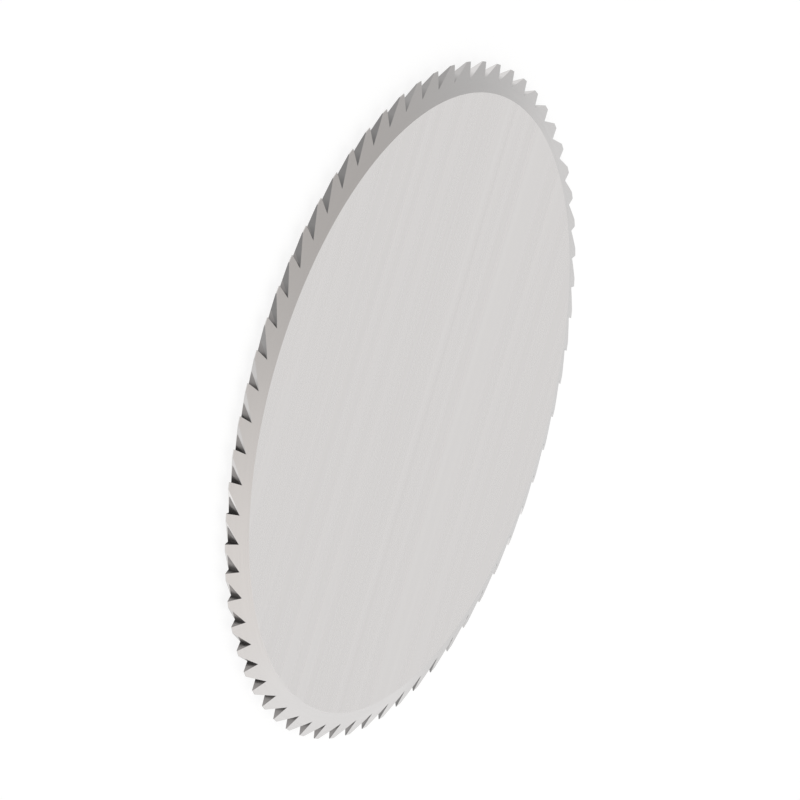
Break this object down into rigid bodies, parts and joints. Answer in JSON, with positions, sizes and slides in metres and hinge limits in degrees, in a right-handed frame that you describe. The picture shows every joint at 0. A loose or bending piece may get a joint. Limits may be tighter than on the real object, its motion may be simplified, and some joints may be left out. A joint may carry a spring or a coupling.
{
  "type": "hose cutting blade",
  "caption": "Flat round steel blade, ground from both sides to a thin rim cut into fine hooked teeth, for slicing through rubber and plastic hose.",
  "frame": {"origin": "centre of the back face, which the blade lies on", "axes": "+Z along the disc's axis, out of the front face; +X through the root of one gullet; seen from +Z the teeth point clockwise"},
  "size_m": [0.1, 0.1, 0.0031],
  "materials": {
    "ground_steel": "fine ground tool steel: satin flat faces, smoother ground bevels, darker gullet walls"
  },
  "bodies": {
    "root": {"toothed_blade": "ground_steel"}
  },
  "joints": []
}
